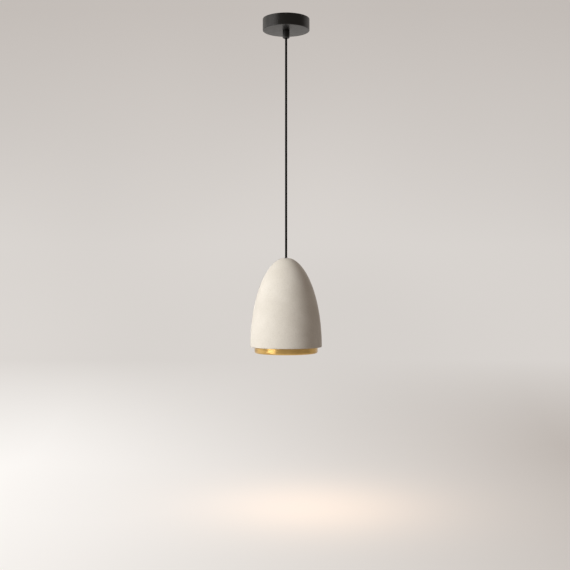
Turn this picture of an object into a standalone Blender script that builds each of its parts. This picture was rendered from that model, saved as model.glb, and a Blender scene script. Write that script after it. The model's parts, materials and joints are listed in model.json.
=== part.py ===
"""Pendant ceiling light: a ceiling cup, a straight cord and a tall mineral dome with a brass liner.

The origin is the middle of the ceiling plane, +Z is up, and the light hangs straight down from it.
Sizes are in millimetres in this text, and MM turns them into Blender's metres as each mesh is made.
A radius and a height, both from the origin, give each point of a turned outline.
"""

import math

import bmesh
import bpy
from mathutils import Matrix, Vector

MM = 0.001
GAP = 0.3  # between solids that touch, or that move past each other

# Ceiling cup and cord grip
CUP_RADIUS = 50.0
CUP_HEIGHT = 25.0
CUP_WALL = 1.2
CUP_EDGE = 1.0
GRIP_RADIUS = 7.5
GRIP_LENGTH = 16.3
GRIP_EDGE = 3.0

# Bracket: a steel strap with two feet on the ceiling and a lowered middle
STRAP_WIDTH = 20.0
STRAP_THICK = 1.5
STRAP_DROP = 10.0
FOOT_INNER = 26.0
FOOT_OUTER = 44.0
MIDDLE_HALF = 20.0
SLOT_SPACING = 72.0
SLOT_LENGTH = 10.0
SLOT_WIDTH = 5.0

# M10 tube, nuts and washers that it carries
TUBE_RADIUS = 5.0
TUBE_BORE = 3.25
TUBE_HOLE = 5.3
NUT_FLATS = 14.0
TUBE_TOP = -6.5
TUBE_IN_GRIP = 6.5

# Terminal block under the bracket's tab, and the earth screw on the bracket
BLOCK_FRONT = 15.0
BLOCK_BACK = 29.0
BLOCK_HALF = 10.0
BLOCK_HEIGHT = 9.5
BLOCK_SCREW_Y = 22.0
POLE_X = 5.0
POLE_HEIGHT = -16.0
EARTH_X = 15.0

# Cord: its sheath, and the three cores inside it
CORD_RADIUS = 2.4
CORD_BORE = 2.75
CORE_RADIUS = 0.95
CORE_CIRCLE = 1.3
BEND_LENGTH = 10.0  # between the two hinges of each bend
TWIST_HEIGHT = -440.0
CORE_START = -12.9  # where the sheath has been cut back inside the tube

# Shade: half an ellipse, cut flat at the crown and at its widest section
SHADE_TOP = -511.0
SHADE_RIM = -700.0
SHADE_RADIUS = 76.3
SHADE_RISE = 190.5
SHADE_WALL = 7.0
SHADE_INNER_RISE = 183.0
SHADE_SEAT = -523.5
RIM_ROUND = 1.8
CROWN_HOLE = 3.5

# Liner: a spun brass reflector whose lowest band shows under the rim
LINER_RADIUS = 67.4
LINER_RISE = 178.0
LINER_SHEET = 1.0
LINER_PLATE = -589.5
LINER_HOLE = 20.5
LINER_BOTTOM = -713.3
LINER_CORNER = 4.0
LINER_LIP = 61.0

# Lampholder for an E27 bulb, and the collar that holds the cord in it
HOLDER_NECK = -531.2
HOLDER_NECK_LENGTH = 10.3
HOLDER_RADIUS = 20.0
HOLDER_TOP = -561.0
HOLDER_BOTTOM = -597.0
CARRIER_TOP = -562.0
CARRIER_BOTTOM = -571.2
SHELL_RADIUS = 14.8
SHELL_BORE = 13.6
COLLAR_LENGTH = 6.5
HOLDER_EARTH = -555.0
HOLDER_POLE = 10.0

# Bulb: screw cap, housing and opal diffuser
BULB_TIP = -574.6
CAP_TOP = -580.3
CAP_BOTTOM = -599.7
CAP_RADIUS = 13.0
BULB_SHOULDER = -640.0
BULB_RADIUS = 30.0
BULB_CENTRE = -652.0

# Heights that follow from the sizes above
CUP_BOTTOM = -CUP_HEIGHT
GRIP_TOP = CUP_BOTTOM - GAP
GRIP_BOTTOM = GRIP_TOP - GRIP_LENGTH
STRAP_BOTTOM = -STRAP_DROP - STRAP_THICK
BLOCK_TOP = STRAP_BOTTOM - GAP
TUBE_BOTTOM = GRIP_TOP - TUBE_IN_GRIP
PIVOT_SPACE = CORD_RADIUS + GAP  # from a hinge's centre to the flat end that faces its ball
CORD_EXIT = GRIP_BOTTOM - 0.7
SWING_X = CORD_EXIT - PIVOT_SPACE
SWING_Y = SWING_X - BEND_LENGTH
CORD_ENTRY = SHADE_TOP + 2.0
TILT_Y = CORD_ENTRY + PIVOT_SPACE
TILT_X = TILT_Y + BEND_LENGTH
CAP_CEILING = HOLDER_NECK - HOLDER_NECK_LENGTH
COLLAR_TOP = CAP_CEILING - GAP

# Round pieces: how many sides a turn is made of
WIDE_SIDES = 40
MIDDLE_SIDES = 24
SMALL_SIDES = 16

LOOKS = {
    "black_paint": ((0.012, 0.011, 0.011), 0.42, 0.0),
    "black_nylon": ((0.010, 0.010, 0.010), 0.45, 0.0),
    "cord_sheath": ((0.012, 0.011, 0.010), 0.70, 0.0),
    "shade_mineral": ((0.78, 0.74, 0.69), 0.85, 0.0),
    "brass": ((0.62, 0.44, 0.20), 0.34, 1.0),
    "zinc_steel": ((0.55, 0.56, 0.57), 0.38, 1.0),
    "terminal_plastic": ((0.80, 0.80, 0.77), 0.45, 0.0),
    "holder_plastic": ((0.015, 0.015, 0.015), 0.38, 0.0),
    "ceramic": ((0.83, 0.82, 0.79), 0.50, 0.0),
    "rubber": ((0.03, 0.03, 0.03), 0.85, 0.0),
    "core_brown": ((0.16, 0.07, 0.03), 0.45, 0.0),
    "core_blue": ((0.03, 0.13, 0.45), 0.45, 0.0),
    "core_green": ((0.10, 0.38, 0.08), 0.45, 0.0),
    "bulb_white": ((0.85, 0.85, 0.84), 0.40, 0.0),
    "bulb_opal": ((0.92, 0.90, 0.86), 0.25, 0.0),
    "bulb_glass_black": ((0.02, 0.02, 0.03), 0.20, 0.0),
    "board_green": ((0.05, 0.22, 0.10), 0.45, 0.0),
}


def look(name):
    """The material of that name, made the first time that a piece asks for it."""
    if name in bpy.data.materials:
        return bpy.data.materials[name]
    colour, roughness, metallic = LOOKS[name]
    made = bpy.data.materials.new(name)
    made.use_nodes = True
    shader = made.node_tree.nodes["Principled BSDF"]
    shader.inputs["Base Color"].default_value = (*colour, 1.0)
    shader.inputs["Roughness"].default_value = roughness
    shader.inputs["Metallic"].default_value = metallic
    return made


def pivot(name, height, parent):
    """An empty on a joint's axis, which carries the pieces that the joint moves."""
    made = bpy.data.objects.new(name, None)
    made.empty_display_size = 0.01
    bpy.context.collection.objects.link(made)
    made.location = (0, 0, height * MM)
    hang(made, parent)
    return made


def hang(child, parent):
    """Parents a piece without moving it."""
    if parent is None:
        return
    bpy.context.view_layer.update()
    child.parent = parent
    child.matrix_parent_inverse = parent.matrix_world.inverted()


def piece(name, data, finish, carrier):
    """An object with its material, hung on the empty that moves it."""
    made = bpy.data.objects.new(name, data)
    bpy.context.collection.objects.link(made)
    data.materials.append(look(finish))
    hang(made, carrier)
    return made


def solid(name, form, finish, carrier):
    """A piece from a bmesh, with its faces pointing out and its round faces smooth."""
    bmesh.ops.remove_doubles(form, verts=form.verts, dist=1e-7)
    bmesh.ops.recalc_face_normals(form, faces=form.faces)
    mesh = bpy.data.meshes.new(name)
    form.to_mesh(mesh)
    form.free()
    mesh.shade_smooth()
    mesh.set_sharp_from_angle(angle=math.radians(35))
    return piece(name, mesh, finish, carrier)


def turned(name, outline, finish, carrier, sides=SMALL_SIDES, place=None):
    """A solid of revolution about Z. Place is a matrix that moves it before it becomes a mesh."""
    form = bmesh.new()
    points = [form.verts.new((radius * MM, 0, height * MM)) for radius, height in outline]
    for here, after in zip(points, points[1:] + points[:1]):
        if here.co.x > 0 or after.co.x > 0:
            form.edges.new((here, after))
    bmesh.ops.spin(
        form,
        geom=form.verts[:] + form.edges[:],
        cent=(0, 0, 0),
        axis=(0, 0, 1),
        angle=math.tau,
        steps=sides,
        use_merge=True,
    )
    if place is not None:
        bmesh.ops.transform(form, matrix=place, verts=form.verts)
    return solid(name, form, finish, carrier)


def block(name, low, high, finish, carrier, edge=0.0):
    """A box between two corners, with its edges cut back by a small bevel."""
    form = bmesh.new()
    size = Vector(high) - Vector(low)
    middle = (Vector(high) + Vector(low)) / 2
    bmesh.ops.create_cube(form, size=MM)
    bmesh.ops.scale(form, vec=size, verts=form.verts)
    bmesh.ops.translate(form, vec=middle * MM, verts=form.verts)
    if edge:
        bmesh.ops.bevel(form, geom=form.edges[:], offset=edge * MM, segments=1, affect="EDGES")
    return solid(name, form, finish, carrier)


def folded_strip(name, outline, width, finish, carrier):
    """A sheet strip: a closed outline in X and Z, drawn out along Y to both sides of the middle."""
    form = bmesh.new()
    points = [form.verts.new((x * MM, -width / 2 * MM, z * MM)) for x, z in outline]
    drawn = bmesh.ops.extrude_face_region(form, geom=[form.faces.new(points)])
    moved = [v for v in drawn["geom"] if isinstance(v, bmesh.types.BMVert)]
    bmesh.ops.translate(form, vec=(0, width * MM, 0), verts=moved)
    return solid(name, form, finish, carrier)


def prism(name, radius, bottom, top, finish, carrier, sides=6, place=None):
    """An upright prism or cylinder between two heights."""
    outline = [(0, top), (radius, top), (radius, bottom), (0, bottom)]
    return turned(name, outline, finish, carrier, sides, place)


def combine(target, tool, operation):
    """Cuts or joins with a hidden tool that stays with its target."""
    tool.hide_render = True
    tool.display_type = "WIRE"
    hang(tool, target)
    step = target.modifiers.new(tool.name, "BOOLEAN")
    step.operation = operation
    step.solver = "EXACT"
    step.object = tool


def drill(target, radius, start, end, sides=SMALL_SIDES):
    """A straight hole between two points that both lie outside the wall, or one at a blind end."""
    start, end = Vector(start), Vector(end)
    run = end - start
    turn = run.to_track_quat("Z", "Y").to_matrix().to_4x4()
    place = Matrix.Translation(start * MM) @ turn
    name = f"{target.name}_hole_{len(target.modifiers) + 1}"
    combine(target, prism(name, radius, 0, run.length, "zinc_steel", None, sides, place), "DIFFERENCE")


def lying(height, y=0.0, x=0.0):
    """Turns a piece drawn along +Z so that it points along +Y, from a point on its line."""
    return Matrix.Translation(Vector((x, y, height)) * MM) @ Matrix.Rotation(-math.pi / 2, 4, "X")


def standing(x, y, height):
    """Moves a piece drawn about the Z axis to another upright line."""
    return Matrix.Translation(Vector((x, y, height)) * MM)


def arc(radius, height, bend, start, end, steps=4):
    """Points on an arc of radius bend about a centre, in degrees from outward towards up."""
    angles = [math.radians(start + (end - start) * i / steps) for i in range(steps + 1)]
    return [(radius + bend * math.cos(a), height + bend * math.sin(a)) for a in angles]


def dome(radius, rise, top, bottom, steps):
    """Points down an ellipse that is widest at the rim's height, between two heights."""
    first = math.asin((top - SHADE_RIM) / rise)
    last = math.asin((bottom - SHADE_RIM) / rise)
    angles = [first + (last - first) * i / steps for i in range(steps + 1)]
    return [(radius * math.cos(a), SHADE_RIM + rise * math.sin(a)) for a in angles]


def ring(inner, outer, bottom, top):
    """The outline of a plain ring or tube."""
    return [(inner, top), (outer, top), (outer, bottom), (inner, bottom)]


def screw(shaft, head, length, head_height):
    """The outline of a pan-head screw that stands on its tip at height 0."""
    top = length + head_height
    return [
        (0, 0),
        (shaft - 0.3, 0),
        (shaft, 0.4),
        (shaft, length),
        (head, length),
        (head, top - 0.5),
        (head - 0.6, top),
        (0, top),
    ]


def nut(name, bottom, top, finish, carrier):
    """A hexagon nut on the M10 tube, its corners turned back at both ends."""
    corner = NUT_FLATS / 2 / math.cos(math.pi / 6)
    outline = [
        (0, top),
        (corner - 0.7, top),
        (corner, top - 0.4),
        (corner, bottom + 0.4),
        (corner - 0.7, bottom),
        (0, bottom),
    ]
    made = turned(name, outline, finish, carrier, sides=6)
    drill(made, TUBE_HOLE, (0, 0, bottom - 1), (0, 0, top + 1))
    return made


def smooth_run(knots, steps=4):
    """Points of the smooth curve that passes through a few chosen knots."""
    knots = [Vector(k) for k in knots]
    ends = [2 * knots[0] - knots[1], *knots, 2 * knots[-1] - knots[-2]]
    points = []
    for a, b, c, d in zip(ends, ends[1:], ends[2:], ends[3:]):
        for i in range(steps):
            t = i / steps
            bow = (2 * a - 5 * b + 4 * c - d) * t * t + (3 * b - a - 3 * c + d) * t**3
            points.append(b + ((c - a) * t + bow) / 2)
    return points + [knots[-1]]


def tube(name, points, radii, finish, carrier, resolution):
    """A round tube along points, with its own radius at each."""
    curve = bpy.data.curves.new(name, "CURVE")
    curve.dimensions = "3D"
    curve.bevel_depth = max(radii) * MM
    curve.bevel_resolution = resolution
    curve.use_fill_caps = True
    line = curve.splines.new("POLY")
    line.points.add(len(points) - 1)
    for knot, place, radius in zip(line.points, points, radii):
        knot.co = (*(Vector(place) * MM), 1.0)
        knot.radius = radius / max(radii)
    return piece(name, curve, finish, carrier)


def core(name, knots, finish, carrier):
    """One insulated core of the cord, through a few chosen knots."""
    points = smooth_run(knots, steps=3)
    return tube(name, points, [CORE_RADIUS] * len(points), finish, carrier, 1)


def cord_run(name, top, bottom, carrier, ball_top=False, ball_bottom=False):
    """A straight stretch of cord. A ball end is centred on the hinge that it turns about."""
    angles = [math.radians(a) for a in (80, 58, 32)]
    above = [(top + CORD_RADIUS * math.sin(a), CORD_RADIUS * math.cos(a)) for a in angles]
    below = [(bottom - CORD_RADIUS * math.sin(a), CORD_RADIUS * math.cos(a)) for a in reversed(angles)]
    count = max(1, round((top - bottom) / (6 * CORD_RADIUS)))
    straight = [(top + (bottom - top) * i / count, CORD_RADIUS) for i in range(count + 1)]
    run = above * ball_top + straight + below * ball_bottom
    points = [(0, 0, height) for height, _ in run]
    return tube(name, points, [radius for _, radius in run], "cord_sheath", carrier, 2)


# --- Ceiling part -----------------------------------------------------------------------------


def ceiling_bracket():
    """The strap with its slots, its tube hole, its earth screw hole and the terminal block's tab."""
    low, high = STRAP_BOTTOM, -STRAP_DROP
    upper = [
        (-FOOT_OUTER, 0),
        (-FOOT_INNER, 0),
        (-MIDDLE_HALF, high),
        (MIDDLE_HALF, high),
        (FOOT_INNER, 0),
        (FOOT_OUTER, 0),
    ]
    lean = 0.6  # keeps the sloping legs about as thick as the flats
    lower = [
        (FOOT_OUTER, -STRAP_THICK),
        (FOOT_INNER + lean, -STRAP_THICK),
        (MIDDLE_HALF + lean, low),
        (-MIDDLE_HALF - lean, low),
        (-FOOT_INNER - lean, -STRAP_THICK),
        (-FOOT_OUTER, -STRAP_THICK),
    ]
    made = folded_strip("ceiling_bracket", upper + lower, STRAP_WIDTH, "zinc_steel", None)
    tab = block("bracket_tab", (-3.5, 5, low + 0.1), (3.5, 28, high - 0.1), "zinc_steel", None)
    combine(made, tab, "UNION")
    drill(made, TUBE_HOLE, (0, 0, low - 2), (0, 0, high + 2))
    drill(made, 2.1, (-EARTH_X, 0, low - 2), (-EARTH_X, 0, high + 2), 16)
    drill(made, 1.7, (0, BLOCK_SCREW_Y, low - 2), (0, BLOCK_SCREW_Y, high + 2), 16)
    for side in (-1, 1):
        slot(made, side * SLOT_SPACING / 2)
    return made


def slot(target, x):
    """A round-ended slot through a foot, along X."""
    form = bmesh.new()
    reach, radius = (SLOT_LENGTH - SLOT_WIDTH) / 2, SLOT_WIDTH / 2
    outline = []
    for centre, start in ((x + reach, -90), (x - reach, 90)):
        outline += arc(centre, 0, radius, start, start + 180, 6)
    corners = [form.verts.new((a * MM, b * MM, -4 * MM)) for a, b in outline]
    drawn = bmesh.ops.extrude_face_region(form, geom=[form.faces.new(corners)])
    moved = [v for v in drawn["geom"] if isinstance(v, bmesh.types.BMVert)]
    bmesh.ops.translate(form, vec=(0, 0, 6 * MM), verts=moved)
    name = f"{target.name}_slot_{len(target.modifiers) + 1}"
    combine(target, solid(name, form, "zinc_steel", None), "DIFFERENCE")


def canopy_cup():
    """The spun cup, open to the ceiling, with a hole for the tube in its bottom."""
    bottom, wall = CUP_BOTTOM, CUP_WALL
    inner = CUP_RADIUS - wall
    outline = [(CUP_RADIUS, -GAP)]
    outline += arc(CUP_RADIUS - CUP_EDGE, bottom + CUP_EDGE, CUP_EDGE, 0, -90, 3)
    outline += [(TUBE_HOLE, bottom), (TUBE_HOLE, bottom + wall)]
    outline += [(inner - 0.6, bottom + wall), (inner, bottom + wall + 0.6), (inner, -GAP)]
    return turned("canopy_cup", outline, "black_paint", None, WIDE_SIDES)


def ceiling_stack():
    """The tube through the bracket, with its nuts and the toothed washer."""
    turned("ceiling_nipple", ring(TUBE_BORE, TUBE_RADIUS, TUBE_BOTTOM, TUBE_TOP), "zinc_steel", None)
    nut("nipple_top_nut", -STRAP_DROP + GAP, TUBE_TOP - 0.7, "zinc_steel", None)
    washer_top = STRAP_BOTTOM - GAP
    washer_bottom = washer_top - 0.8
    turned("toothed_washer", ring(TUBE_HOLE, 8.6, washer_bottom, washer_top), "zinc_steel", None)
    nut("nipple_lock_nut", washer_bottom - GAP - 3.0, washer_bottom - GAP, "zinc_steel", None)


def cord_grip():
    """The grip that screws onto the tube under the cup, and its socket screw at the back."""
    outline = [(GRIP_RADIUS - 0.5, GRIP_TOP), (GRIP_RADIUS, GRIP_TOP - 0.5)]
    outline += arc(GRIP_RADIUS - GRIP_EDGE, GRIP_BOTTOM + GRIP_EDGE, GRIP_EDGE, 0, -90, 3)
    outline += arc(4.4, GRIP_BOTTOM + 1.5, 1.5, -90, -180, 2)
    outline += [(CORD_BORE + 0.15, TUBE_BOTTOM - 0.6), (TUBE_HOLE, TUBE_BOTTOM - GAP)]
    outline += [(TUBE_HOLE, GRIP_TOP)]
    made = turned("cord_grip_body", outline, "black_nylon", None, MIDDLE_SIDES)
    height = GRIP_BOTTOM + 5.8
    drill(made, 2.2, (0, 1, height), (0, GRIP_RADIUS + 2, height), 16)
    plug = [(0, 0), (1.9, 0), (1.9, 4.4), (1.6, 4.7), (0, 4.7)]
    grub = turned(
        "cord_grip_screw", plug, "zinc_steel", None, 16, lying(height, CORD_RADIUS + GAP)
    )
    drill(grub, 1.0, (0, 5.4, height), (0, 9, height), 6)


def terminal_block():
    """The two-pole block under the bracket's tab, its brass sleeves and its screws."""
    bottom = BLOCK_TOP - BLOCK_HEIGHT
    made = block(
        "terminal_block",
        (-BLOCK_HALF, BLOCK_FRONT, bottom),
        (BLOCK_HALF, BLOCK_BACK, BLOCK_TOP),
        "terminal_plastic",
        None,
        edge=0.6,
    )
    for number, x in enumerate((-POLE_X, POLE_X)):
        drill(made, 2.3, (x, BLOCK_FRONT - 2, POLE_HEIGHT), (x, BLOCK_BACK + 2, POLE_HEIGHT), 16)
        sleeve = turned(
            f"terminal_sleeve_{number + 1}",
            ring(1.3, 2.0, 0.5, BLOCK_BACK - BLOCK_FRONT - 0.5),
            "brass",
            None,
            16,
            lying(POLE_HEIGHT, BLOCK_FRONT, x),
        )
        for place, y in enumerate((18.3, 25.7)):
            drill(made, 1.6, (x, y, bottom - 2), (x, y, POLE_HEIGHT), 12)
            drill(sleeve, 1.25, (x, y, POLE_HEIGHT - 4), (x, y, POLE_HEIGHT), 12)
            turned(
                f"terminal_screw_{2 * number + place + 1}",
                [(0, 0), (1.1, 0), (1.1, 3.6), (0, 3.6)],
                "zinc_steel",
                None,
                12,
                standing(x, y, bottom + 0.2),
            )
    drill(made, 1.7, (0, BLOCK_SCREW_Y, bottom - 2), (0, BLOCK_SCREW_Y, BLOCK_TOP + 2), 16)
    length = BLOCK_HEIGHT + STRAP_THICK + 1.5
    turned(
        "terminal_block_screw",
        [(0, 0), (2.6, 0), (2.6, 1.5), (1.35, 1.5), (1.35, 1.5 + length), (0, 1.5 + length)],
        "zinc_steel",
        None,
        16,
        standing(0, BLOCK_SCREW_Y, bottom - GAP - 1.5),
    )


def ceiling_earth():
    """The earth screw and its cup washer on top of the bracket."""
    washer = -STRAP_DROP + GAP
    place = standing(-EARTH_X, 0, washer)
    turned("earth_washer", ring(2.1, 4.5, 0, 0.8), "brass", None, SMALL_SIDES, place)
    head = washer + 0.8 + 2 * CORE_RADIUS + 2 * GAP
    tip = STRAP_BOTTOM - 2.5
    turned(
        "earth_screw",
        screw(1.8, 3.8, head - tip, 2.2),
        "brass",
        None,
        SMALL_SIDES,
        standing(-EARTH_X, 0, tip),
    )


def ceiling_cores():
    """The cores from the cord's end, over the tube's rim and the strap's edge, to their terminals."""
    for name, side, finish in (("live", 1, "core_brown"), ("neutral", -1, "core_blue")):
        x = side * POLE_X
        knots = [
            (side * CORE_CIRCLE, 0.75, CORE_START),
            (side * CORE_CIRCLE, 0.75, -7.5),
            (side * 2.0, 2.6, -4.3),
            (side * 4.0, 7.0, -3.2),
            (x, 11.0, -5.0),
            (x, 12.4, -9.5),
            (x, 12.9, -13.4),
            (x, 15.4, -15.9),
            (x, 20.0, POLE_HEIGHT),
        ]
        core(f"core_{name}_top", knots, finish, None)
    rest = -STRAP_DROP + GAP + 0.8 + GAP + CORE_RADIUS
    beside = -(1.8 + GAP + CORE_RADIUS)
    knots = [
        (0, -1.5, CORE_START),
        (0, -1.5, -7.5),
        (-1.6, -2.6, -4.6),
        (-5.5, -3.0, -4.2),
        (-9.0, beside, -6.0),
        (-12.0, beside, rest + 0.2),
        (-18.5, beside, rest),
    ]
    core("core_earth_top", knots, "core_green", None)


# --- Shade ------------------------------------------------------------------------------------


def shade_shell(carrier):
    """The mineral shade: an even wall, a thick crown with a flat seat, and a softly rounded rim."""
    inner = SHADE_RADIUS - SHADE_WALL
    inner_round = 1.5
    outline = [(CROWN_HOLE, SHADE_TOP)]
    outline += dome(SHADE_RADIUS, SHADE_RISE, SHADE_TOP, SHADE_RIM + RIM_ROUND, 13)
    outline += arc(SHADE_RADIUS - RIM_ROUND, SHADE_RIM + RIM_ROUND, RIM_ROUND, 0, -90, 3)[1:]
    outline += arc(inner + inner_round, SHADE_RIM + inner_round, inner_round, -90, -180, 2)[:-1]
    outline += reversed(dome(inner, SHADE_INNER_RISE, SHADE_SEAT, SHADE_RIM + inner_round, 8))
    outline += [(CROWN_HOLE, SHADE_SEAT)]
    return turned("shade_shell", outline, "shade_mineral", carrier, WIDE_SIDES)


def cord_bushing(carrier):
    """The grommet in the crown hole, with a thin flange on top."""
    top = SHADE_TOP + 0.9
    flange = SHADE_TOP + GAP
    outline = [(CORD_BORE, top), (3.7, top), (4.0, top - 0.25), (4.0, flange)]
    outline += [(3.2, flange), (3.2, SHADE_TOP - 5), (CORD_BORE, SHADE_TOP - 5)]
    turned("cord_bushing", outline, "rubber", carrier)


def support_stack(carrier):
    """From the shade's seat down: soft washer, steel disc, nut, and the tube into the lampholder."""
    washer_top = SHADE_SEAT - GAP
    washer_bottom = washer_top - 1.5
    disc_top = washer_bottom - GAP
    disc_bottom = disc_top - 2.0
    nut_top = disc_bottom - GAP
    outline = ring(TUBE_HOLE, 16.6, washer_bottom, washer_top)
    turned("seat_washer", outline, "rubber", carrier, MIDDLE_SIDES)
    outline = ring(TUBE_HOLE, 17.5, disc_bottom, disc_top)
    turned("support_disc", outline, "zinc_steel", carrier, MIDDLE_SIDES)
    nut("disc_nut", nut_top - 3.0, nut_top, "zinc_steel", carrier)
    outline = ring(TUBE_BORE, TUBE_RADIUS, HOLDER_NECK - 8.8, washer_top - 0.4)
    turned("shade_nipple", outline, "zinc_steel", carrier)


def lampholder(carrier):
    """The E27 lampholder: cap, body, contact carrier, screw shell, contact and screws."""
    wall = 2.0
    outline = [(7.0, HOLDER_NECK), (7.5, HOLDER_NECK - 0.5), (7.5, CAP_CEILING + 2.0)]
    outline += arc(HOLDER_RADIUS - 6, CAP_CEILING - 8, 6, 60, 0, 3)
    outline += [(HOLDER_RADIUS, HOLDER_TOP + GAP), (HOLDER_RADIUS - wall, HOLDER_TOP + GAP)]
    outline += arc(HOLDER_RADIUS - 6, CAP_CEILING - 8, 6 - wall, 0, 60, 3)
    outline += [(8.5, CAP_CEILING), (TUBE_HOLE, CAP_CEILING), (TUBE_HOLE, HOLDER_NECK)]
    cap = turned("lampholder_cap", outline, "holder_plastic", carrier, MIDDLE_SIDES)
    drill(cap, 1.8, (0, 12, HOLDER_EARTH), (0, HOLDER_RADIUS + 2, HOLDER_EARTH), 12)

    step = CARRIER_BOTTOM - GAP
    outline = [(HOLDER_RADIUS, HOLDER_TOP)]
    outline += arc(HOLDER_RADIUS - 1, HOLDER_BOTTOM + 1, 1, 0, -90, 2)
    outline += [(14.2, HOLDER_BOTTOM), (14.2, HOLDER_BOTTOM + 2.5), (15.3, HOLDER_BOTTOM + 2.5)]
    outline += [(15.3, step), (17.5, step), (17.5, HOLDER_TOP)]
    turned("lampholder_body", outline, "holder_plastic", carrier, MIDDLE_SIDES)

    outline = [(0, CARRIER_TOP), (16.6, CARRIER_TOP), (17.2, CARRIER_TOP - 0.6), (17.2, CARRIER_BOTTOM)]
    seat = turned("contact_carrier", outline + [(0, CARRIER_BOTTOM)], "ceramic", carrier, MIDDLE_SIDES)
    for number, x in enumerate((HOLDER_POLE, -HOLDER_POLE)):
        drill(seat, 1.8, (x, 0, CARRIER_TOP + 2), (x, 0, CARRIER_TOP - 6.5), 12)
        turned(
            f"holder_terminal_screw_{number + 1}",
            screw(1.5, 2.6, 8.5, 2.0),
            "brass",
            carrier,
            16,
            standing(x, 0, CARRIER_TOP - 6.0),
        )
    turned(
        "screw_shell",
        ring(SHELL_BORE, SHELL_RADIUS, HOLDER_BOTTOM + 3.2, CARRIER_BOTTOM - 0.6),
        "brass",
        carrier,
        MIDDLE_SIDES,
    )
    flat, low, sheet = CARRIER_BOTTOM - GAP, BULB_TIP + 0.35, 0.5
    strip = [(-10, flat), (-5, flat), (-1.5, low + sheet), (3.5, low + sheet)]
    strip += [(3.5, low), (-1.7, low), (-5.2, flat - sheet), (-10, flat - sheet)]
    folded_strip("centre_contact", strip, 6.0, "brass", carrier)


def holder_wiring(carrier):
    """The clamp that holds the cord in the cap, and the cores to the holder's terminals."""
    bottom = COLLAR_TOP - COLLAR_LENGTH
    middle = (COLLAR_TOP + bottom) / 2
    collar = turned(
        "strain_relief_collar", ring(CORD_BORE, 6.5, bottom, COLLAR_TOP), "black_nylon", carrier, 24
    )
    drill(collar, 1.7, (0, 1, middle), (0, 9, middle), 12)
    turned(
        "strain_relief_screw",
        screw(1.4, 2.3, 4.4, 1.3),
        "zinc_steel",
        carrier,
        16,
        lying(middle, CORD_RADIUS + GAP),
    )
    cord_run("cord_in_shade", CORD_ENTRY, bottom - 2.0, carrier)
    start = bottom - 2.4
    rest = CARRIER_TOP + GAP + CORE_RADIUS
    for name, side, finish in (("live", 1, "core_brown"), ("neutral", -1, "core_blue")):
        knots = [
            (side * CORE_CIRCLE, -0.75, start),
            (side * 1.9, -1.4, start - 2.6),
            (side * 4.2, -2.6, start - 6.4),
            (side * 7.0, -2.85, rest + 0.5),
            (side * 12.6, -2.85, rest),
        ]
        core(f"core_{name}_bottom", knots, finish, carrier)
    knots = [
        (0, 1.5, start),
        (0.1, 1.8, start - 1.2),
        (1.2, 4.6, start - 2.6),
        (3.4, 9.5, start - 2.2),
        (3.4, 14.0, start - 1.7),
        (3.2, 16.1, start - 3.4),
        (3.2, 16.1, start - 7.0),
    ]
    core("core_earth_bottom", knots, "core_green", carrier)
    place = lying(HOLDER_EARTH, 19.4) @ Matrix.Rotation(math.pi, 4, "X")
    turned("holder_earth_screw", screw(1.5, 2.6, 4.0, 1.8), "brass", carrier, 16, place)


def liner(carrier):
    """The spun brass liner: a flat top plate, a domed wall inside the shade, a band and a lip."""
    sheet, inner = LINER_SHEET, LINER_RADIUS - LINER_SHEET
    under = LINER_PLATE - sheet
    turn = LINER_PLATE - 3.5  # where the top plate's rounded edge meets the dome
    outer_dome = dome(LINER_RADIUS, LINER_RISE, turn, SHADE_RIM, 6)
    inner_dome = dome(inner, LINER_RISE - sheet, turn - 0.6, SHADE_RIM, 6)
    corner = outer_dome[0][0]
    outline = [(LINER_HOLE, LINER_PLATE), (corner - 4.0, LINER_PLATE), (corner - 1.3, LINER_PLATE - 1.1)]
    outline += outer_dome
    outline += arc(LINER_RADIUS - LINER_CORNER, LINER_BOTTOM + LINER_CORNER, LINER_CORNER, 0, -90, 3)
    outline += [(LINER_LIP, LINER_BOTTOM), (LINER_LIP, LINER_BOTTOM + sheet)]
    small = LINER_CORNER - sheet
    outline += arc(inner - small, LINER_BOTTOM + LINER_CORNER, small, -90, 0, 3)
    outline += reversed(inner_dome)
    outline += [(corner - 2.2, under - 1.0), (corner - 4.4, under), (LINER_HOLE, under)]
    turned("brass_liner", outline, "brass", carrier, WIDE_SIDES)
    above = LINER_PLATE + GAP
    below = under - GAP - 3.2
    for name, bottom in (("upper_shade_ring", above), ("lower_shade_ring", below)):
        grip = ring(HOLDER_RADIUS + 0.4, 26.0, bottom, bottom + 3.2)
        turned(name, grip, "holder_plastic", carrier, MIDDLE_SIDES)


# --- Bulb -------------------------------------------------------------------------------------


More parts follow.
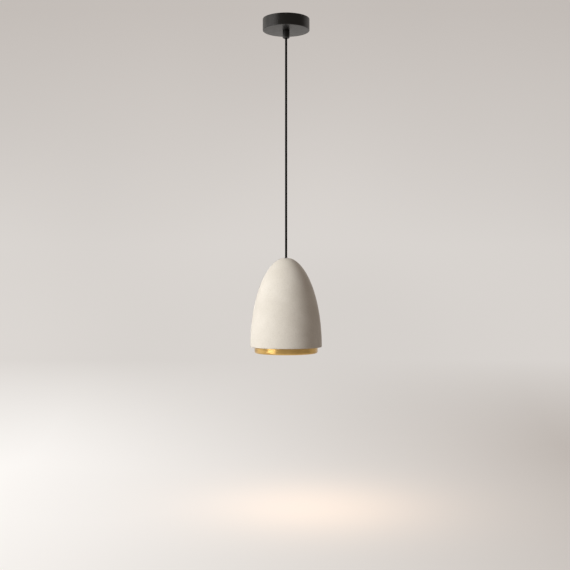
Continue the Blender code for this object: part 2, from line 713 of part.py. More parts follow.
def bulb(lead, carrier):
    """An LED bulb. Its centre contact is on the lead, which slides, and the rest turns on it."""
    seat = BULB_TIP - 1.6
    outline = [(0, BULB_TIP), (3.4, BULB_TIP - 0.3), (4.5, BULB_TIP - 0.9), (4.5, seat), (0, seat)]
    turned("bulb_contact", outline, "zinc_steel", lead, 24)

    top, bottom = seat - GAP, CAP_TOP + GAP
    outline = [(0, top), (5.5, top), (9.6, bottom + 0.8), (9.6, bottom), (0, bottom)]
    turned("bulb_insulator", outline, "bulb_glass_black", carrier, 24)

    inner = CAP_RADIUS - 0.8
    outline = [(3.0, CAP_TOP), (10.0, CAP_TOP), (CAP_RADIUS, CAP_TOP - 2.7), (CAP_RADIUS, CAP_BOTTOM)]
    outline += [(inner, CAP_BOTTOM), (inner, CAP_TOP - 3.3), (9.6, CAP_TOP - 0.9), (3.0, CAP_TOP - 0.9)]
    turned("bulb_cap", outline, "zinc_steel", carrier, MIDDLE_SIDES)

    neck, rim, wall, steps = 14.0, 27.5, 1.5, 5
    start = CAP_BOTTOM - GAP
    flare = []
    for i in range(steps + 1):
        t = i / steps
        flare.append((neck + (rim - neck) * t * t * (3 - 2 * t), start + (BULB_SHOULDER - start) * t))
    outline = [(11.8, start + 7.7), (11.8, start)] + flare
    outline += [(radius - wall, height) for radius, height in reversed(flare[1:])]
    outline += [(10.3, start - 1.2), (10.3, start + 7.7)]
    turned("bulb_housing", outline, "bulb_white", carrier, MIDDLE_SIDES)

    board = block("bulb_driver_board", (-0.6, -9.2, -628), (0.6, 9.2, -586), "board_green", carrier)
    capacitor = prism("driver_capacitor", 3.8, -620, -606, "black_nylon", None, 12, standing(4, 0, 0))
    combine(board, capacitor, "UNION")

    edge = BULB_SHOULDER - GAP
    prism("bulb_led_board", 25.5, edge - 1.6, edge, "ceramic", carrier, MIDDLE_SIDES)
    thick = 1.2
    rise = edge - BULB_CENTRE
    outer = math.degrees(math.asin(rise / BULB_RADIUS))
    inner = math.degrees(math.asin(rise / (BULB_RADIUS - thick)))
    outline = arc(0, BULB_CENTRE, BULB_RADIUS, outer, -90, 7)
    outline += arc(0, BULB_CENTRE, BULB_RADIUS - thick, -90, inner, 7)
    outline = [(0 if radius < 1e-6 else radius, height) for radius, height in outline]
    turned("bulb_diffuser", outline, "bulb_opal", carrier, MIDDLE_SIDES)


# --- The whole light --------------------------------------------------------------------------


def build():
    """Clears the scene and makes every piece, each on the pivot of the joint that moves it."""
    for old in list(bpy.data.objects):
        bpy.data.objects.remove(old, do_unlink=True)

    ceiling_bracket()
    canopy_cup()
    ceiling_stack()
    cord_grip()
    terminal_block()
    ceiling_earth()
    ceiling_cores()
    cord_run("cord_in_grip", CORE_START - GAP, CORD_EXIT, None)

    swing_x = pivot("swing_x_pivot", SWING_X, None)
    swing_y = pivot("swing_y_pivot", SWING_Y, swing_x)
    twist = pivot("cord_twist_pivot", TWIST_HEIGHT, swing_y)
    tilt_x = pivot("tilt_x_pivot", TILT_X, twist)
    tilt_y = pivot("tilt_y_pivot", TILT_Y, tilt_x)
    cord_run("cord_top_bend", SWING_X, SWING_Y + PIVOT_SPACE, swing_x, ball_top=True)
    cord_run("cord_upper", SWING_Y, TWIST_HEIGHT + GAP / 2, swing_y, ball_top=True)
    cord_run("cord_lower", TWIST_HEIGHT - GAP / 2, TILT_X, twist, ball_bottom=True)
    cord_run("cord_shade_bend", TILT_X - PIVOT_SPACE, TILT_Y, tilt_x, ball_bottom=True)

    cord_bushing(tilt_y)
    shade_shell(tilt_y)
    support_stack(tilt_y)
    lampholder(tilt_y)
    holder_wiring(tilt_y)
    liner(tilt_y)

    lead = pivot("bulb_travel_pivot", BULB_TIP, tilt_y)
    bulb(lead, pivot("bulb_turn_pivot", BULB_TIP, lead))


build()
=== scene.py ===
"""Looks of the pendant ceiling light: fine meshes, procedural materials, a pale studio and its camera.

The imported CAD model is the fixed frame. Its axes and heights are used here too: the origin is the
middle of the ceiling plane, +Z is up, and the light hangs straight down from it. Outlines are in
millimetres, as a radius and a height, and MM turns them into metres as each mesh is made.
"""

import json
import math

import bmesh
import bpy
from mathutils import Matrix, Vector


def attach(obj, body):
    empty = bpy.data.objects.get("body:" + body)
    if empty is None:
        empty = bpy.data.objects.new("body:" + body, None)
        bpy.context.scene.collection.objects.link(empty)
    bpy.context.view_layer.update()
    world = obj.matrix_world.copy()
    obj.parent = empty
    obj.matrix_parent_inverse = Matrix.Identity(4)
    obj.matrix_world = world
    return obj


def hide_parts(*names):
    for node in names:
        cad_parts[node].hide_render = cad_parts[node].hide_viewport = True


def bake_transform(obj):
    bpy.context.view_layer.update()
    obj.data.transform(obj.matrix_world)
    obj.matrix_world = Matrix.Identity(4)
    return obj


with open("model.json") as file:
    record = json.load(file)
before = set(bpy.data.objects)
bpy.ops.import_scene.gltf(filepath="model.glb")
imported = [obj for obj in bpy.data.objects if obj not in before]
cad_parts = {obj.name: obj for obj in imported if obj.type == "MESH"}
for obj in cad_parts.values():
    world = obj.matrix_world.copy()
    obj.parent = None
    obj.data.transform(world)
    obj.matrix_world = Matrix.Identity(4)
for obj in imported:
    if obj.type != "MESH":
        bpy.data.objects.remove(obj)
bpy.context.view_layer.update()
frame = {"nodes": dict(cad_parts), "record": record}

MM = 0.001
CORD_RADIUS = 2.4
RIM = -700.0  # height of the shade's lower edge
SWING_X = -45.0  # heights of the two hinges under the grip
SWING_Y = -55.0
TILT_X = -496.3  # heights of the two hinges over the crown
TILT_Y = -506.3
M10_PITCH = 1.0
E27_PITCH = 3.62
SHARP = 35  # degrees: edges that turn more than this are shaded as sharp
FLOOR = -1.07  # height of the studio's floor in metres
PALE = (0.60, 0.565, 0.53, 1.0)  # the studio's colour far from the light


# --- Materials --------------------------------------------------------------------------------


class Finish:
    """A procedural material: a Principled shader, and nodes that vary it over the surface."""

    def __init__(self, slot, name=None, metallic=0.0, constants=None):
        self.slot = slot
        self.material = bpy.data.materials.new(name or slot)
        self.material.use_nodes = True
        self.tree = self.material.node_tree
        self.shader = self.tree.nodes["Principled BSDF"]
        self.shader.inputs["Metallic"].default_value = metallic
        for socket, value in (constants or {}).items():
            self.shader.inputs[socket].default_value = value
        self.places = self.node("ShaderNodeTexCoord")
        self.place = self.places.outputs["Object"]

    def node(self, kind, inputs=None, **settings):
        """A node with its settings, whose inputs are numbers or the outputs of other nodes."""
        made = self.tree.nodes.new(kind)
        for key, value in settings.items():
            setattr(made, key, value)
        for key, value in (inputs or {}).items():
            if isinstance(value, bpy.types.NodeSocket):
                self.tree.links.new(value, made.inputs[key])
            else:
                made.inputs[key].default_value = value
        return made

    def maths(self, operation, *values):
        inputs = dict(enumerate(values))
        return self.node("ShaderNodeMath", inputs, operation=operation).outputs[0]

    def noise(self, scale, detail=2.0, place=None, rough=0.5):
        """Soft noise from 0 to 1. The scale is features per metre, or per unit of the place."""
        inputs = {"Vector": place or self.place, "Scale": scale, "Detail": detail, "Roughness": rough}
        return self.node("ShaderNodeTexNoise", inputs).outputs["Fac"]

    def spread(self, value, low, high, start=0.3, end=0.7):
        """The value's stretch from start to end, turned into low to high."""
        inputs = {"Value": value, "From Min": start, "From Max": end, "To Min": low, "To Max": high}
        return self.node("ShaderNodeMapRange", inputs).outputs["Result"]

    def between(self, value, first, second, start=0.3, end=0.7):
        """A colour that goes from the first to the second as the value goes from start to end."""
        ramp = self.node("ShaderNodeValToRGB", {"Fac": value})
        stops = ramp.color_ramp.elements
        stops[0].position = start
        stops[0].color = (*first, 1.0)
        stops[1].position = end
        stops[1].color = (*second, 1.0)
        return ramp.outputs["Color"]

    def blend(self, factor, first, second, kind="MIX"):
        """Two colours mixed by a factor. A colour mix takes them at its sockets 0, 6 and 7."""
        inputs = {0: factor, 6: first, 7: second}
        return self.node("ShaderNodeMix", inputs, data_type="RGBA", blend_type=kind).outputs[2]

    def give(self, socket, value):
        self.tree.links.new(value, self.shader.inputs[socket])

    def relief(self, height, depth, strength=1.0, over=None):
        """Bumps of that depth in millimetres, on top of others if there are any."""
        inputs = {"Height": height, "Distance": depth * MM, "Strength": strength}
        if over is not None:
            inputs["Normal"] = over
        return self.node("ShaderNodeBump", inputs).outputs["Normal"]

    def axes(self, vector):
        """The three numbers of a vector."""
        return self.node("ShaderNodeSeparateXYZ", {"Vector": vector}).outputs

    def around(self):
        """Angle, radius and height about the light's axis, as three numbers."""
        x, y, z = self.axes(self.place)
        angle = self.maths("ARCTAN2", y, x)
        squares = self.maths("ADD", self.maths("MULTIPLY", x, x), self.maths("MULTIPLY", y, y))
        return angle, self.maths("SQRT", squares), z

    def join(self, x, y, z):
        return self.node("ShaderNodeCombineXYZ", {"X": x, "Y": y, "Z": z}).outputs["Vector"]


def plain_finish(slot, dark, light, rough, grain, depth, metallic=0.0, cloud=60.0):
    """A painted, moulded or plated surface: cloudy colour, grain of that scale, and uneven gloss."""
    made = Finish(slot, metallic=metallic)
    made.give("Base Color", made.between(made.noise(cloud, 3.0), dark, light))
    fine = made.noise(grain, 3.0)
    gloss = made.maths("ADD", made.noise(cloud * 2.3, 4.0), made.maths("MULTIPLY", fine, 0.4))
    made.give("Roughness", made.spread(gloss, rough[0], rough[1], 0.5, 0.9))
    made.give("Normal", made.relief(fine, depth))
    return made


def mineral_finish():
    """Cast mineral: off-white with soft clouds, fine sandy grain, and scattered small pores, whose pits are
    darkened in colour as painted shade.
    """
    made = Finish("shade_mineral", constants={"Specular IOR Level": 0.32})
    cloud = made.between(made.noise(22.0, 4.0, rough=0.6), (0.755, 0.700, 0.632), (0.835, 0.782, 0.718))
    grain = made.noise(1500.0, 2.0, rough=0.7)
    speckle = made.noise(620.0, 1.0)
    tone = made.between(speckle, (0.935, 0.93, 0.922), (1.0, 1.0, 1.0), 0.34, 0.50)
    colour = made.blend(1.0, cloud, tone, "MULTIPLY")
    cells = made.node("ShaderNodeTexVoronoi", {"Vector": made.place, "Scale": 420.0, "Randomness": 1.0})
    near = made.spread(cells.outputs["Distance"], 1.0, 0.0, 0.08, 0.20)
    parts = made.node("ShaderNodeSeparateColor", {"Color": cells.outputs["Color"]})
    chosen = made.maths("GREATER_THAN", parts.outputs["Red"], 0.72)  # about a quarter of the cells
    pore = made.maths("MULTIPLY", near, chosen)
    # Painted shade: the pores' pits are darkened in the base colour, on top of the relief that sinks them.
    dark = made.maths("MULTIPLY", pore, 0.42)
    made.give("Base Color", made.blend(dark, colour, (0.42, 0.37, 0.32, 1.0)))
    made.give("Roughness", made.spread(grain, 0.80, 0.95))
    sand = made.relief(grain, 0.10, 0.55)
    waves = made.relief(made.noise(60.0, 2.0), 0.5, 0.25, sand)
    made.give("Normal", made.relief(made.maths("SUBTRACT", 1.0, pore), 0.30, 0.8, waves))
    return made


def brushed_brass():
    """Spun brass, brushed round the axis, with a few deeper lines and a light tarnish."""
    constants = {"Anisotropic": 0.85, "Anisotropic Rotation": 0.25}
    made = Finish("brass", metallic=1.0, constants=constants)
    angle, radius, height = made.around()
    fineness = 2600.0  # brush lines per metre
    across = made.maths("MULTIPLY", height, fineness)
    out = made.maths("MULTIPLY", radius, fineness)
    lines = made.noise(1.0, 3.0, made.join(made.maths("MULTIPLY", angle, 1.6), out, across), 0.65)
    deep = made.noise(0.23, 2.0, made.join(made.maths("MULTIPLY", angle, 3.0), out, across), 0.6)
    tarnish = made.noise(38.0, 4.0, rough=0.6)
    metal = made.between(lines, (0.51, 0.33, 0.11), (0.86, 0.59, 0.22), 0.30, 0.72)
    warm = made.between(tarnish, (0.86, 0.82, 0.76), (1.0, 1.0, 1.0), 0.35, 0.62)
    made.give("Base Color", made.blend(1.0, metal, warm, "MULTIPLY"))
    made.give("Roughness", made.spread(made.maths("ADD", lines, tarnish), 0.28, 0.42, 0.75, 1.25))
    fine = made.relief(lines, 0.018, 0.7)
    made.give("Normal", made.relief(deep, 0.05, 0.35, fine))
    tangent = made.node("ShaderNodeTangent", direction_type="RADIAL", axis="Z")
    made.give("Tangent", tangent.outputs["Tangent"])
    return made


def braided_cord():
    """A fine black textile braid over the sheath: two sets of strands that cross over and under, with
    painted shade in the grooves between them.
    """
    strands = 10.0  # each way round the cord
    rows = 760.0  # strands that a line along the cord crosses in a metre
    made = Finish("cord_sheath", constants={"Specular IOR Level": 0.06})
    turn, along, _ = made.axes(made.places.outputs["UV"])
    first = made.maths("MULTIPLY", turn, strands)
    step = made.maths("MULTIPLY", along, rows)
    right = made.maths("ADD", first, step)
    left = made.maths("SUBTRACT", first, step)

    def strand(line):
        return made.maths("ABSOLUTE", made.maths("SINE", made.maths("MULTIPLY", line, math.pi)))

    cells = made.maths("ADD", made.maths("FLOOR", right), made.maths("FLOOR", left))
    over = made.maths("LESS_THAN", made.maths("FLOORED_MODULO", cells, 2.0), 0.5)
    under = made.maths("SUBTRACT", 1.0, over)
    one = made.maths("MULTIPLY", strand(right), over)
    other = made.maths("MULTIPLY", strand(left), under)
    height = made.maths("ADD", one, other)
    fuzz = made.noise(5200.0, 2.0)
    dark, light = (0.0012, 0.0010, 0.0009), (0.0065, 0.0058, 0.0053)
    # Painted shade: the colour follows the braid's height, darkest in the grooves between strands.
    made.give("Base Color", made.between(height, dark, light, 0.1, 1.0))
    made.give("Roughness", made.spread(fuzz, 0.62, 0.85))
    weave = made.relief(height, 0.22, 0.9)
    made.give("Normal", made.relief(fuzz, 0.04, 0.5, weave))
    return made


def striped_core():
    """The earth core's insulation: green, with a yellow stripe along each side."""
    made = Finish("core_green", constants={"Specular IOR Level": 0.5})
    turn, _, _ = made.axes(made.places.outputs["UV"])
    wave = made.maths("SINE", made.maths("MULTIPLY", turn, 2 * math.tau))
    made.give("Base Color", made.between(wave, (0.05, 0.24, 0.05), (0.74, 0.62, 0.05), 0.45, 0.55))
    made.give("Roughness", made.spread(made.noise(900.0), 0.38, 0.55))
    made.give("Normal", made.relief(made.noise(700.0), 0.02))
    return made


def opal_bulb():
    """The lit diffuser: warm and even, a little darker and yellower up towards the housing."""
    made = Finish("bulb_opal", constants={"Emission Strength": 1.5})
    _, _, height = made.around()
    lowest, highest = -0.6842, -0.6405  # the heights in metres over which the glow fades
    level = made.spread(height, 0.0, 1.0, lowest, highest)
    made.give("Emission Color", made.between(level, (1.0, 0.83, 0.62), (0.86, 0.60, 0.36), 0.35, 1.0))
    grain = made.noise(260.0, 2.0)
    made.give("Base Color", made.between(grain, (0.84, 0.82, 0.78), (0.90, 0.88, 0.84)))
    made.give("Roughness", made.spread(grain, 0.28, 0.38))
    made.give("Normal", made.relief(grain, 0.02))
    return made


def spangled_steel():
    """Zinc-plated steel: soft crystals of slightly different grey, fine drawing lines, dull gloss."""
    made = Finish("zinc_steel", metallic=1.0)
    cells = made.node("ShaderNodeTexVoronoi", {"Vector": made.place, "Scale": 520.0})
    parts = made.node("ShaderNodeSeparateColor", {"Color": cells.outputs["Color"]})
    tint = made.maths("ADD", made.maths("MULTIPLY", parts.outputs["Red"], 0.35), made.noise(90.0, 4.0))
    made.give("Base Color", made.between(tint, (0.40, 0.41, 0.42), (0.66, 0.67, 0.68), 0.35, 0.95))
    drawn = {0: made.place, 1: (60.0, 2400.0, 60.0)}
    stretch = made.node("ShaderNodeVectorMath", drawn, operation="MULTIPLY")
    lines = made.noise(1.0, 2.0, stretch.outputs["Vector"])
    made.give("Roughness", made.spread(made.maths("ADD", lines, tint), 0.28, 0.46, 0.7, 1.4))
    made.give("Normal", made.relief(lines, 0.012, 0.6))
    return made


# For each slot: its darkest colour, its lightest colour, its range of roughness, how many grains it
# has per metre, and how deep they are in millimetres.
PLAIN = {
    "black_paint": ((0.0022, 0.0020, 0.0018), (0.0040, 0.0037, 0.0034), (0.29, 0.36), 1300.0, 0.012),
    "black_nylon": ((0.0020, 0.0018, 0.0016), (0.0036, 0.0034, 0.0031), (0.28, 0.36), 1700.0, 0.012),
    "holder_plastic": ((0.012, 0.012, 0.012), (0.020, 0.019, 0.019), (0.30, 0.44), 1500.0, 0.015),
    "rubber": ((0.018, 0.017, 0.016), (0.034, 0.033, 0.031), (0.70, 0.88), 2200.0, 0.03),
    "terminal_plastic": ((0.70, 0.69, 0.65), (0.80, 0.79, 0.75), (0.36, 0.50), 1200.0, 0.015),
    "ceramic": ((0.72, 0.70, 0.66), (0.82, 0.80, 0.77), (0.30, 0.55), 900.0, 0.03),
    "brass_inner": ((0.62, 0.43, 0.19), (0.80, 0.60, 0.30), (0.24, 0.40), 1800.0, 0.01),
    "core_brown": ((0.085, 0.034, 0.014), (0.12, 0.05, 0.022), (0.36, 0.52), 1100.0, 0.02),
    "core_blue": ((0.012, 0.07, 0.30), (0.022, 0.10, 0.40), (0.36, 0.52), 1100.0, 0.02),
    "bulb_white": ((0.76, 0.755, 0.74), (0.84, 0.835, 0.82), (0.30, 0.42), 1000.0, 0.01),
    "bulb_glass_black": ((0.006, 0.006, 0.008), (0.014, 0.014, 0.017), (0.08, 0.16), 500.0, 0.01),
    "board_green": ((0.02, 0.12, 0.05), (0.05, 0.20, 0.09), (0.34, 0.50), 700.0, 0.03),
}
EXTRAS = {"brass_inner": {"metallic": 1.0}, "board_green": {"cloud": 260.0}}

FINISHES = {
    "shade_mineral": mineral_finish(),
    "brass": brushed_brass(),
    "cord_sheath": braided_cord(),
    "core_green": striped_core(),
    "bulb_opal": opal_bulb(),
    "zinc_steel": spangled_steel(),
}
for plain_slot, look in PLAIN.items():
    FINISHES[plain_slot] = plain_finish(plain_slot, *look, **EXTRAS.get(plain_slot, {}))


# --- Mesh code --------------------------------------------------------------------------------


def rounded(outline, bend, steps=4):
    """A closed outline with each sharp corner turned into a small arc. Points on the axis stay."""
    tiny = 1e-6
    slight = 0.45  # radians: a corner that turns less stays as it is
    share = 0.45  # of the shorter edge, the most that an arc may take
    made = []
    count = len(outline)
    for i, corner in enumerate(outline):
        here = Vector(corner)
        back = Vector(outline[i - 1]) - here
        ahead = Vector(outline[(i + 1) % count]) - here
        on_axis = here.x < tiny
        if on_axis or back.length < tiny or ahead.length < tiny or back.angle(-ahead) < slight:
            made.append(tuple(here))
            continue
        reach = min(bend, back.length * share, ahead.length * share)
        first = here + back.normalized() * reach
        last = here + ahead.normalized() * reach
        for k in range(steps + 1):
            t = k / steps
            made.append(tuple(first * (1 - t) ** 2 + here * 2 * t * (1 - t) + last * t * t))
    return made


def arc(radius, height, bend, start, end, steps=12):
    """Points on an arc about a centre, in degrees from outward towards up."""
    angles = [math.radians(start + (end - start) * i / steps) for i in range(steps + 1)]
    return [(radius + bend * math.cos(a), height + bend * math.sin(a)) for a in angles]


def dome(radius, rise, top, bottom, steps):
    """Points down an ellipse that is widest at the rim's height, between two heights."""
    first = math.asin((top - RIM) / rise)
    last = math.asin((bottom - RIM) / rise)
    angles = [first + (last - first) * i / steps for i in range(steps + 1)]
    return [(radius * math.cos(a), RIM + rise * math.sin(a)) for a in angles]


def ring(inner, outer, bottom, top, bend=0.3):
    """The outline of a plain ring or tube with softened edges."""
    return rounded([(inner, top), (outer, top), (outer, bottom), (inner, bottom)], bend)


def screw_thread(bottom, top, root, crest, pitch, per_turn=8):
    """Points down a thread, as a function of the angle. It fades out at both ends."""
    count = max(4, round((top - bottom) / pitch * per_turn))
    heights = [top + (bottom - top) * i / count for i in range(count + 1)]

    def at(angle):
        points = []
        for z in heights:
            wave = 0.5 + 0.5 * math.cos(math.tau * (z / pitch + angle / math.tau))
            fade = min(1.0, (top - z) / pitch * 2, (z - bottom) / pitch * 2)
            points.append((root + (crest - root) * wave * fade, z))
        return points

    return at


def clean_mesh(name, form):
    """A mesh from a bmesh, with doubled points joined and all faces turned outward."""
    bmesh.ops.remove_doubles(form, verts=form.verts, dist=1e-7)
    bmesh.ops.dissolve_degenerate(form, dist=1e-8, edges=form.edges)
    bmesh.ops.recalc_face_normals(form, faces=form.faces)
    mesh = bpy.data.meshes.new(name)
    form.to_mesh(mesh)
    form.free()
    return mesh


def piece(name, form, finish, body, nodes, sharp=SHARP):
    """An object from a bmesh in metres. It rides on a body, and stands for the CAD nodes it names."""
    mesh = clean_mesh(name, form)
    mesh.shade_smooth()
    mesh.set_sharp_from_angle(angle=math.radians(sharp))
    mesh.materials.append(FINISHES[finish].material)
    made = bpy.data.objects.new(name, mesh)
    bpy.context.collection.objects.link(made)
    if body is not None:
        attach(made, body)
    if nodes:
        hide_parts(*nodes)
    return made


def revolve(outline, sides, place=None):
    """A bmesh of a closed outline, or of one that is a function of the angle, turned about Z."""
    form = bmesh.new()
    turns = []
    for i in range(sides):
        angle = math.tau * i / sides
        points = outline(angle) if callable(outline) else outline
        spin = Vector((math.cos(angle) * MM, math.sin(angle) * MM))
        turns.append([form.verts.new((r * spin.x, r * spin.y, z * MM)) for r, z in points])
    for here, after in zip(turns, turns[1:] + turns[:1]):
        for k in range(len(here)):
            form.faces.new((here[k - 1], here[k], after[k], after[k - 1]))
    if place is not None:
        bmesh.ops.transform(form, matrix=place, verts=form.verts)
    return form


def turned(name, outline, finish, body, sides=96, place=None):
    """A piece of revolution. It stands for the CAD node whose name follows its own "fine_"."""
    node = name.removeprefix("fine_")
    return piece(name, revolve(outline, sides, place), finish, body, [node])


def standing(x, y, height):
    """The place of a piece that is drawn about the light's axis but stands beside it."""
    return Matrix.Translation(Vector((x, y, height)) * MM)


def carve(target, form, operation="DIFFERENCE"):
    """Cuts or joins a piece with a bmesh, and keeps the result as the piece's own mesh."""
    tool = bpy.data.objects.new("tool", clean_mesh("tool", form))
    bpy.context.collection.objects.link(tool)
    step = target.modifiers.new("step", "BOOLEAN")
    step.operation = operation
    step.solver = "EXACT"
    step.object = tool
    bpy.context.view_layer.update()
    changed = target.evaluated_get(bpy.context.evaluated_depsgraph_get())
    result = bpy.data.meshes.new_from_object(changed)
    target.modifiers.remove(step)
    target.data = result
    bpy.data.objects.remove(tool)
    result.shade_smooth()
    result.set_sharp_from_angle(angle=math.radians(SHARP))
    return target


def plug(radius, start, end, sides=32):
    """A bmesh of a straight round rod between two points in millimetres."""
    start, end = Vector(start), Vector(end)
    run = end - start
    turn = run.to_track_quat("Z", "Y").to_matrix().to_4x4()
    outline = [(0, run.length), (radius, run.length), (radius, 0), (0, 0)]
    return revolve(outline, sides, Matrix.Translation(start * MM) @ turn)


def prism(outline, low, high):
    """A bmesh of a flat outline in X and Y, drawn straight up from one height to another."""
    form = bmesh.new()
    base = form.faces.new([form.verts.new((x * MM, y * MM, low * MM)) for x, y in outline])
    drawn = bmesh.ops.extrude_face_region(form, geom=[base])
    moved = [v for v in drawn["geom"] if isinstance(v, bmesh.types.BMVert)]
    bmesh.ops.translate(form, vec=(0, 0, (high - low) * MM), verts=moved)
    return form


def nut_outline(bottom, top, flats=14.0, bore=5.3):
    """A hexagon nut's outline at each angle, its corners turned back by the usual chamfer."""
    face = flats / 2 - 0.15

    def at(angle):
        corner = flats / 2 / math.cos((angle + math.pi / 6) % (math.pi / 3) - math.pi / 6)
        drop = max(0.0, corner - face) * 0.58
        points = [(bore + 0.4, top), (face, top), (corner, top - drop), (corner, bottom + drop)]
        return points + [(face, bottom), (bore + 0.4, bottom), (bore, bottom + 0.4), (bore, top - 0.4)]

    return at


def smooth_run(knots, steps=8):
    """Points of the smooth curve that passes through a few chosen knots."""
    knots = [Vector(k) for k in knots]
    ends = [2 * knots[0] - knots[1], *knots, 2 * knots[-1] - knots[-2]]
    points = []
    for a, b, c, d in zip(ends, ends[1:], ends[2:], ends[3:]):
        for i in range(steps):
            t = i / steps
            bow = (2 * a - 5 * b + 4 * c - d) * t * t + (3 * b - a - 3 * c + d) * t**3
            points.append(b + ((c - a) * t + bow) / 2)
    return points + [knots[-1]]


def tube(name, points, radius, finish, body, nodes, sides=16):
    """A round tube along points in millimetres, with the turn and the length in metres as its UVs."""
    form = bmesh.new()
    points = [Vector(p) for p in points]
    ahead = (points[1] - points[0]).normalized()
    side = ahead.orthogonal().normalized()
    rings, run, runs = [], 0.0, []
    for i, point in enumerate(points):
        after = points[min(i + 1, len(points) - 1)]
        before = points[max(i - 1, 0)]
        run += (point - before).length if i else 0.0
        direction = (after - before).normalized()
        side = (side - direction * side.dot(direction)).normalized()
        other = direction.cross(side)
        loop = []
        for k in range(sides):
            a = math.tau * k / sides
            loop.append(form.verts.new((point + (side * math.cos(a) + other * math.sin(a)) * radius) * MM))
        rings.append(loop)
        runs.append(run)
    layer = form.loops.layers.uv.new("UVMap")
    # The cord's pieces count from the ceiling, so that the braid runs on from one to the next.
    first = -points[0].z if finish == "cord_sheath" else 0.0
    for i in range(len(rings) - 1):
        for k in range(sides):
            after = (k + 1) % sides
            face = form.faces.new((rings[i][k], rings[i][after], rings[i + 1][after], rings[i + 1][k]))
            corners = ((k, i), (k + 1, i), (k + 1, i + 1), (k, i + 1))
            for corner, (u, v) in zip(face.loops, corners):
                corner[layer].uv = (u / sides, (first + runs[v]) * MM)
    form.faces.new(reversed(rings[0]))
    form.faces.new(rings[-1])
    return piece(name, form, finish, body, nodes, sharp=50)


# --- Camera and cord --------------------------------------------------------------------------


def camera():
    """A level camera about two metres in front of the light."""
    data = bpy.data.cameras.new("camera")
    data.lens = 58.48
    data.sensor_width = 36.0
    made = bpy.data.objects.new("camera", data)
    bpy.context.collection.objects.link(made)
    made.location = (-0.0024, -1.97765, -0.568)
    made.rotation_euler = (math.pi / 2, 0, 0)
    bpy.context.scene.camera = made


def straight(top, bottom, step=1.5):
    """Points straight down the axis, about a step apart."""
    count = max(2, round((top - bottom) / step))
    return [(0, 0, top + (bottom - top) * i / count) for i in range(count + 1)]


def bend_piece(name, top, bottom, nodes):
    """A short straight stretch of cord down the axis, across one hinge."""
    made = tube(name, straight(top, bottom, 0.8), CORD_RADIUS, "cord_sheath", None, nodes, 28)
    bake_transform(made)
    return made


def cords():
    """The cord: one long straight stretch, and short straight ones across the hinges."""
    middle_top = (SWING_X + SWING_Y) / 2
    middle_bottom = (TILT_X + TILT_Y) / 2
    top, bottom = SWING_Y - 5.0, TILT_X + 5.0
    bends = [
        bend_piece("cord_at_grip", -13.2, middle_top, ["cord_in_grip"]),
        bend_piece("cord_top_fold", middle_top, top, ["cord_top_bend"]),
        bend_piece(
            "cord_low_fold", bottom, middle_bottom, ["cord_shade_bend"]
        ),
        bend_piece(
            "cord_at_shade", middle_bottom, -550.3, ["cord_in_shade"]
        ),
    ]
    line = straight(top, bottom)
    main = tube("pendant_cord", line, CORD_RADIUS, "cord_sheath", None, ["cord_upper", "cord_lower"], 28)
    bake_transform(main)


# --- Ceiling part -----------------------------------------------------------------------------


def cup_and_grip():
    """The spun cup with its soft lower edge, and the round-ended grip under it."""
    outline = [(50.0, -0.7), (49.7, -0.4), (49.2, -0.4), (48.8, -0.8)]
    outline += reversed(arc(47.6, -22.6, 1.2, -90, 0, 8))
    outline += [(5.9, -23.8), (5.4, -24.1), (5.3, -24.6), (5.7, -25.0)]
    outline += arc(48.8, -23.8, 1.2, -90, 0, 12)
    turned("fine_canopy_cup", outline, "black_paint", "root", sides=192)

    outline = [(5.3, -25.3), (6.9, -25.3)]
    outline += arc(7.0, -25.8, 0.5, 90, 0, 6)[1:]
    outline += arc(4.5, -38.6, 3.0, 0, -90, 16)
    outline += [(4.4, -41.6), (3.8, -41.5), (3.25, -41.1), (2.95, -40.5)]
    outline += [(2.9, -39.5), (2.9, -32.4), (5.3, -32.1)]
    grip = turned("fine_cord_grip_body", outline, "black_nylon", "root", sides=96)
    screw_hole = plug(2.2, (0, 1, -35.8), (0, 9.5, -35.8))
    carve(grip, screw_hole)


